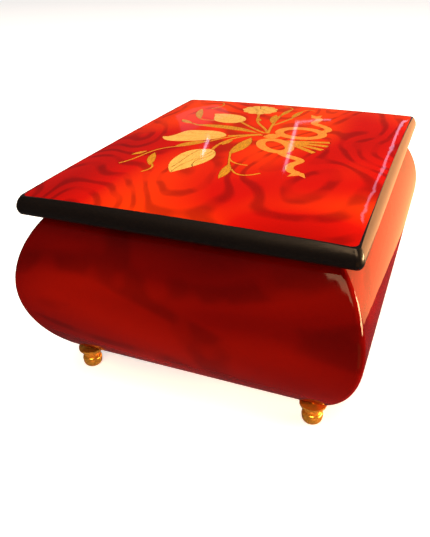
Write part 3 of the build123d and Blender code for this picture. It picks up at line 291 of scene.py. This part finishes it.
def velvet():
    # woven rayon pile: a 0.4 mm nap, crushed into 15 mm clouds, with a pale sheen at its edges
    mat, tree, shader = newMaterial("crimsonVelvet")
    nap = addNode(tree, "ShaderNodeTexNoise", {
        "Vector": objectCoords(tree, (2600, 2600, 2600)), "Detail": 2.0})
    crush = addNode(tree, "ShaderNodeTexNoise", {
        "Vector": objectCoords(tree, (70, 70, 70)), "Detail": 3.0, "Distortion": 0.8})
    tone = ramp(tree, crush.outputs[0], [(0.32, "#4A0208"), (0.68, "#86081A")])
    pile = ramp(tree, nap.outputs[0], [(0.3, 0.62), (0.7, 1.0)])
    tree.links.new(mixColour(tree, "MULTIPLY", 0.8, tone, pile), shader.inputs["Base Color"])
    tree.links.new(bump(tree, nap.outputs[0], 0.6, 0.00025), shader.inputs["Normal"])
    shader.inputs["Roughness"].default_value = 0.95
    shader.inputs["Specular IOR Level"].default_value = 0.1
    shader.inputs["Sheen Weight"].default_value = 0.7
    shader.inputs["Sheen Roughness"].default_value = 0.35
    shader.inputs["Sheen Tint"].default_value = hexToLinear("#FF8A90")
    return mat


def clearAcrylic():
    # cut acrylic sheet, clear with a faint handling haze
    mat, tree, shader = newMaterial("clearAcrylic")
    haze = addNode(tree, "ShaderNodeTexNoise", {
        "Vector": objectCoords(tree, (60, 60, 60)), "Detail": 3.0})
    spread = addNode(tree, "ShaderNodeMapRange", {0: haze.outputs[0], 3: 0.02, 4: 0.09})
    tree.links.new(spread.outputs[0], shader.inputs["Roughness"])
    shader.inputs["Base Color"].default_value = hexToLinear("#F4FAF8")
    shader.inputs["Transmission Weight"].default_value = 1.0
    shader.inputs["IOR"].default_value = 1.49
    return mat


def mouldedPlastic():
    # injection-moulded nylon, ivory, with a fine skin
    mat, tree, shader = newMaterial("ivoryNylon")
    skin = addNode(tree, "ShaderNodeTexNoise", {
        "Vector": objectCoords(tree, (1200, 1200, 1200)), "Detail": 2.0})
    tree.links.new(ramp(tree, skin.outputs[0], [(0.3, "#D8D2C2"), (0.7, "#EFEBDF")]),
                   shader.inputs["Base Color"])
    shader.inputs["Roughness"].default_value = 0.45
    return mat


def dress(material, *names):
    for name in names:
        mesh = nodes[name].data
        for slot in nodes[name].material_slots:
            slot.material = material
        if not mesh.materials:
            mesh.materials.append(material)


def dressNodes():
    lidVeneer = burlVeneer("redBurlLid", burl["lid"])
    shadedSideVeneer = burlVeneer("redBurlSidesPaintedShade", burl["side"])
    made = {name: metal(name, *values) for name, values in metals.items()}
    brass, zinc = made["polishedBrass"], made["goldLacqueredZinc"]
    steel, lead = made["groundSteel"], made["dullLead"]
    dress(lidVeneer, "lid_veneer")
    dress(shadedSideVeneer, "front_panel", "back_panel", "left_panel", "right_panel", "base_board")
    dress(blackLacquer(), "lid_board")
    dress(plainVeneer("paleMaple", "#E0A23C", "#FFD06A", 900, 12), "inlay_blossoms")
    dress(plainVeneer("oliveAsh", "#9C6400", "#EDA416", 1100, 64), "inlay_leaves")
    dress(plainVeneer("goldenStem", "#B87408", "#EFA21E", 900, 90), "inlay_stems")
    dress(plainVeneer("tanPear", "#DE7A20", "#FFA63A", 700, 38), "inlay_ribbon")
    dress(darkWood(), "bay_partition", "compartment_divider", "cover_ledges")
    # the feet are brass under tinted lacquer, which scatters some of the light
    dress(metal("lacqueredBrass", "#F6B048", "#D08420", 0.2, (700, 700, 160), 0.72),
          "foot_front_left", "foot_front_right", "foot_back_left", "foot_back_right")
    dress(brass, "hinge_case_leaf_left", "hinge_case_leaf_right", "hinge_lid_leaf_left",
          "hinge_lid_leaf_right", "hinge_pin_left", "hinge_pin_right", "case_hinge_screws",
          "lid_hinge_screws", "front_bridge", "rear_bridge", "cylinder", "cylinder_pinion",
          "train_gear", "spring_barrel", "barrel_cap", "governor_bracket", "governor_wheel",
          "winding_key")
    dress(zinc, "bedplate", "comb_block")
    dress(steel, "comb", "winding_arbor", "cylinder_shaft", "ratchet_wheel", "click",
          "stop_bracket", "stop_plunger", "plunger_spring", "mainspring", "movement_screws",
          "comb_screws", "fan_shaft")
    dress(lead, "comb_leads")
    dress(mouldedPlastic(), "fan")
    dress(clearAcrylic(), "movement_cover")


# soft pieces
padding = {
    "floorPuff": 0.00044,
    "lidPuff": 0.00045,
    "edgeRound": 0.0016,
    "step": 0.0022,
    "quilt": 0.0185,
    "quiltDepth": 0.00045,
    "unevenness": 0.00012,
}


def linkMesh(name, bm, material):
    bmesh.ops.recalc_face_normals(bm, faces=bm.faces)
    mesh = bpy.data.meshes.new(name)
    bm.to_mesh(mesh)
    bm.free()
    for face in mesh.polygons:
        face.use_smooth = True
    mesh.materials.append(material)
    obj = bpy.data.objects.new(name, mesh)
    bpy.context.scene.collection.objects.link(obj)
    return obj


def softSlab(name, low, high, material, facing, puff, quilted):
    # a cloth-covered pad: flat against its board, crowned and quilted on the other side
    p = padding
    spanX, spanY, depth = high[0] - low[0], high[1] - low[1], high[2] - low[2]
    countX, countY = int(spanX / p["step"]), int(spanY / p["step"])
    bm = bmesh.new()

    def vertex(i, j, outer):
        x, y = spanX * i / countX, spanY * j / countY
        edge = min(x, spanX - x, y, spanY - y)
        roll = min(1.0, edge / p["edgeRound"])
        rise = depth * (0.35 + 0.65 * (1 - (1 - roll) ** 2) ** 0.5) - puff
        crown = puff * min(1.0, edge / (4 * p["edgeRound"])) ** 0.6
        if quilted:
            u, v = (x + y) / p["quilt"], (x - y) / p["quilt"]
            crown -= p["quiltDepth"] * max(0, 1 - 7 * min(abs(u - round(u)), abs(v - round(v)))) ** 1.5
        crown += p["unevenness"] * noise.noise(Vector((x * 90, y * 90, depth * 900)))
        lift = (rise + crown) if outer else 0.0
        z = low[2] + lift if facing > 0 else high[2] - lift
        return bm.verts.new((low[0] + x, low[1] + y, z))

    outside = [[vertex(i, j, True) for j in range(countY + 1)] for i in range(countX + 1)]
    inside = [[vertex(i, j, False) for j in range(countY + 1)] for i in range(countX + 1)]
    for grid in (outside, inside):
        for i in range(countX):
            for j in range(countY):
                bm.faces.new((grid[i][j], grid[i + 1][j], grid[i + 1][j + 1], grid[i][j + 1]))

    def rimOf(grid):
        front = [grid[i][0] for i in range(countX)]
        right = [grid[countX][j] for j in range(countY)]
        back = [grid[i][countY] for i in range(countX, 0, -1)]
        left = [grid[0][j] for j in range(countY, 0, -1)]
        return front + right + back + left

    a, b = rimOf(outside), rimOf(inside)
    for k in range(len(a)):
        n = (k + 1) % len(a)
        bm.faces.new((a[k], a[n], b[n], b[k]))
    return linkMesh(name, bm, material)


foamRolls = {
    "count": 5,
    "across": 20,  # faces round one roll
    "along": 44,
    "halfWidth": 0.47,  # of the pitch
    "puckerLength": 0.003,
    "unevenness": 0.02,
}


def ringRolls(material):
    # five foam rolls in velvet, with puckered ends and a little unevenness
    low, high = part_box("ring_rolls")
    count, across, along = foamRolls["count"], foamRolls["across"], foamRolls["along"]
    pitch = (high[1] - low[1]) / count
    bm = bmesh.new()
    for k in range(count):
        middle = low[1] + (k + 0.5) * pitch
        half, tall = foamRolls["halfWidth"] * pitch, high[2] - low[2]
        rings = []
        for i in range(along + 1):
            t = i / along
            x = low[0] + (high[0] - low[0]) * t
            end = min(t, 1 - t) * (high[0] - low[0])
            size = min(1.0, (0.55 + 0.45 * (min(1, end / foamRolls["puckerLength"])) ** 0.5))
            ring = []
            for j in range(across):
                a = 2 * pi * j / across
                wob = 1 + foamRolls["unevenness"] * noise.noise(Vector((x * 160, k * 7.0, a)))
                cy = abs(cos(a)) ** 0.75 * (1 if cos(a) > 0 else -1)
                cz = abs(sin(a)) ** 0.8 * (1 if sin(a) > 0 else -1)
                y = middle + half * cy * min(1.0, size * wob)
                z = low[2] + tall / 2 * (1 + cz * min(1.0, size * wob))
                ring.append(bm.verts.new((x, y, z)))
            rings.append(ring)
        for r0, r1 in zip(rings, rings[1:]):
            for j in range(across):
                n = (j + 1) % across
                bm.faces.new((r0[j], r0[n], r1[n], r1[j]))
        bm.faces.new(rings[0])
        bm.faces.new(rings[-1])
    return linkMesh("velvetRingRolls", bm, material)


walls = {
    "thickness": 0.0008,
    "steps": 40,
    "dividerDrop": 0.0020,  # the lining of the divider stops this far below its top
    "unevenness": 0.00010,
}


def wallLining(name, node, material):
    # velvet over card round a compartment, with a soft rolled top edge
    low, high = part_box(node)
    thick, steps = walls["thickness"], walls["steps"]
    section = [(0, 0), (thick, 0), (thick, 0.5), (thick, 0.97), (thick * 0.8, 0.99),
               (thick * 0.5, 1.0), (thick * 0.2, 0.99), (0, 0.97), (0, 0.5)]
    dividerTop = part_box("compartment_divider")[1][2] - walls["dividerDrop"]
    front = "front" in node
    corners = [(low[0], low[1]), (high[0], low[1]), (high[0], high[1]), (low[0], high[1])]
    bm = bmesh.new()
    rings = []
    for c in range(4):
        (x0, y0), (x1, y1) = corners[c], corners[(c + 1) % 4]
        isDivider = (front and c == 2) or (not front and c == 0)
        run = Vector((x1 - x0, y1 - y0))
        inward = Vector((-run.y, run.x)).normalized()
        top = (dividerTop if isDivider else high[2]) - low[2]
        rings.append([])
        for i in range(steps + 1):
            t = i / steps
            ring = []
            for out, up in section:
                along = min(max(t * run.length, out), run.length - out)
                puff = walls["unevenness"] * noise.noise(Vector((x0 + along * 60, up * 9, c)))
                p = Vector((x0, y0)) + run.normalized() * along
                p += inward * (out + (puff if out else 0))
                ring.append(bm.verts.new((p.x, p.y, low[2] + top * up)))
            rings[-1].append(ring)
    for side in rings:
        for r0, r1 in zip(side, side[1:]):
            for j in range(len(section)):
                n = (j + 1) % len(section)
                bm.faces.new((r0[j], r1[j], r1[n], r0[n]))
        bm.faces.new(side[0])
        bm.faces.new(side[-1])
    return linkMesh(name, bm, material)


def makeSoftPieces():
    cloth = velvet()
    for node in ("front_floor_pad", "back_floor_pad"):
        low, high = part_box(node)
        pad = softSlab(node.replace("_floor_pad", "FloorPad"), low, high, cloth, 1,
                       padding["floorPuff"], node.startswith("back"))
        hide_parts(node)
        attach(pad, "case")
    low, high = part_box("lid_lining")
    pad = softSlab("lidLiningPad", low, high, cloth, -1, padding["lidPuff"], True)
    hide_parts("lid_lining")
    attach(pad, "lid")
    rolls = ringRolls(cloth)
    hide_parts("ring_rolls")
    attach(rolls, "case")
    for side in ("front", "back"):
        wall = wallLining(side + "WallLining", side + "_velvet", cloth)
        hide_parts(side + "_velvet")
        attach(wall, "case")


# twisted cord that hides the glued edge of a pad, laid strand by strand along its path
cordEdge = {
    "strandSpacing": 0.00085,
    "strandLength": 0.00105,
    "strandRadius": 0.00052,
    "lay": 38.0,  # degrees that each strand leans from the run of the cord
    "cornerRadius": 0.004,
    "cornerPoints": 7,
    "trayInset": 0.0016,
    "seed": 7,
}


def cordTree():
    tree = bpy.data.node_groups.new("twistedCord", "GeometryNodeTree")
    wanted = (("Strand Spacing", "NodeSocketFloat"), ("Strand Length", "NodeSocketFloat"),
              ("Strand Radius", "NodeSocketFloat"), ("Lay", "NodeSocketFloat"),
              ("Seed", "NodeSocketInt"), ("Finish", "NodeSocketMaterial"))
    tree.interface.new_socket("Geometry", in_out="INPUT", socket_type="NodeSocketGeometry")
    tree.interface.new_socket("Geometry", in_out="OUTPUT", socket_type="NodeSocketGeometry")
    for name, kind in wanted:
        tree.interface.new_socket(name, in_out="INPUT", socket_type=kind)
    given = addNode(tree, "NodeGroupInput").outputs
    curve = addNode(tree, "GeometryNodeMeshToCurve", {"Mesh": given["Geometry"]})
    even = addNode(tree, "GeometryNodeResampleCurve", {
        "Curve": curve.outputs[0], "Length": given["Strand Spacing"]}, mode="LENGTH")
    strand = addNode(tree, "GeometryNodeMeshUVSphere", {"Segments": 8, "Rings": 6, "Radius": 1.0})
    along = addNode(tree, "FunctionNodeAlignRotationToVector", {
        "Vector": addNode(tree, "GeometryNodeInputTangent").outputs[0]}, axis="Z")
    lean = addNode(tree, "ShaderNodeCombineXYZ", {"X": given["Lay"]})
    turned = addNode(tree, "FunctionNodeRotateRotation", {
        0: along.outputs[0], 1: lean.outputs[0]}, rotation_space="LOCAL")
    uneven = addNode(tree, "FunctionNodeRandomValue", {
        2: 0.93, 3: 1.07, "Seed": given["Seed"]}, data_type="FLOAT")
    thick = mathNode(tree, "MULTIPLY", given["Strand Radius"], uneven.outputs[1])
    size = addNode(tree, "ShaderNodeCombineXYZ", {
        "X": thick, "Y": thick, "Z": given["Strand Length"]})
    laid = addNode(tree, "GeometryNodeInstanceOnPoints", {
        "Points": even.outputs[0], "Instance": strand.outputs[0],
        "Rotation": turned.outputs[0], "Scale": size.outputs[0]})
    solid = addNode(tree, "GeometryNodeRealizeInstances", {"Geometry": laid.outputs[0]})
    dressed = addNode(tree, "GeometryNodeSetMaterial", {
        "Geometry": solid.outputs[0], "Material": given["Finish"]})
    addNode(tree, "NodeGroupOutput", {"Geometry": dressed.outputs[0]})
    return tree


def cordRing(name, tree, low, high, z, material):
    c = cordEdge
    bm = bmesh.new()
    r = c["cornerRadius"]
    ring = []
    for cx, cy, start in ((high[0] - r, high[1] - r, 0), (low[0] + r, high[1] - r, 90),
                          (low[0] + r, low[1] + r, 180), (high[0] - r, low[1] + r, 270)):
        for k in range(c["cornerPoints"]):
            a = radians(start + 90 * k / (c["cornerPoints"] - 1))
            ring.append(bm.verts.new((cx + r * cos(a), cy + r * sin(a), z)))
    for one, two in zip(ring, ring[1:] + ring[:1]):
        bm.edges.new((one, two))
    path = bpy.data.meshes.new(name + "Path")
    bm.to_mesh(path)
    bm.free()
    route = bpy.data.objects.new(name + "Path", path)
    bpy.context.scene.collection.objects.link(route)
    modifier = route.modifiers.new("cord", "NODES")
    modifier.node_group = tree
    values = {"Strand Spacing": c["strandSpacing"], "Strand Length": c["strandLength"],
              "Strand Radius": c["strandRadius"], "Lay": radians(c["lay"]),
              "Seed": c["seed"], "Finish": material}
    for item in tree.interface.items_tree:
        if item.in_out == "INPUT" and item.name in values:
            modifier[item.identifier] = values[item.name]
    graph = bpy.context.evaluated_depsgraph_get()
    mesh = bpy.data.meshes.new_from_object(route.evaluated_get(graph))
    mesh.name = name
    for face in mesh.polygons:
        face.use_smooth = True
    route.modifiers.remove(modifier)
    bpy.data.objects.remove(route)
    cord = bpy.data.objects.new(name, mesh)
    bpy.context.scene.collection.objects.link(cord)
    return cord


def goldThread():
    # twisted rayon thread: silky and gold, with a random darker tone at strand size as painted shade
    # for the hollows between its strands
    mat, tree, shader = newMaterial("goldRayonThread")
    strandShadeNoise = addNode(tree, "ShaderNodeTexNoise", {
        "Vector": objectCoords(tree, (2400, 2400, 2400)), "Detail": 2.0})
    tree.links.new(ramp(tree, strandShadeNoise.outputs[0], [(0.3, "#9A5E14"), (0.7, "#E8B04A")]),
                   shader.inputs["Base Color"])
    shader.inputs["Roughness"].default_value = 0.38
    shader.inputs["Sheen Weight"].default_value = 0.3
    return mat


def makeCords():
    tree, thread = cordTree(), goldThread()
    radius = cordEdge["strandRadius"]
    low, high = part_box("lid_lining")
    lidCord = cordRing("lidLiningCord", tree, low, high, high[2] - radius, thread)
    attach(lidCord, "lid")
    low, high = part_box("front_floor_pad")
    inset = Vector((cordEdge["trayInset"], cordEdge["trayInset"], 0))
    trayCord = cordRing("trayFloorCord", tree, Vector(low) + inset, Vector(high) - inset,
                        high[2] - radius * 0.6, thread)
    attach(trayCord, "case")


def makeFloor():
    mat, tree, shader = newMaterial("whiteSweep")
    shader.inputs["Base Color"].default_value = hexToLinear(studio["floorColour"])
    shader.inputs["Roughness"].default_value = 0.8
    shader.inputs["Emission Color"].default_value = (1, 1, 1, 1)
    shader.inputs["Emission Strength"].default_value = studio["floorGlow"]
    bm = bmesh.new()
    bmesh.ops.create_grid(bm, x_segments=2, y_segments=2, size=4)
    floor = linkMesh("floorSweep", bm, mat)
    floor.visible_glossy = False  # the lacquer reflects the warm room, not the white sweep


makeCamera(cameraSetup)
makeWorld()
makeLamps()
bpy.context.scene.view_settings.view_transform = "Standard"
print("camera, world and lamps ready")
dressNodes()
print("materials ready")
makeSoftPieces()
print("soft pieces ready")
makeCords()
print("cord edges ready")
makeFloor()
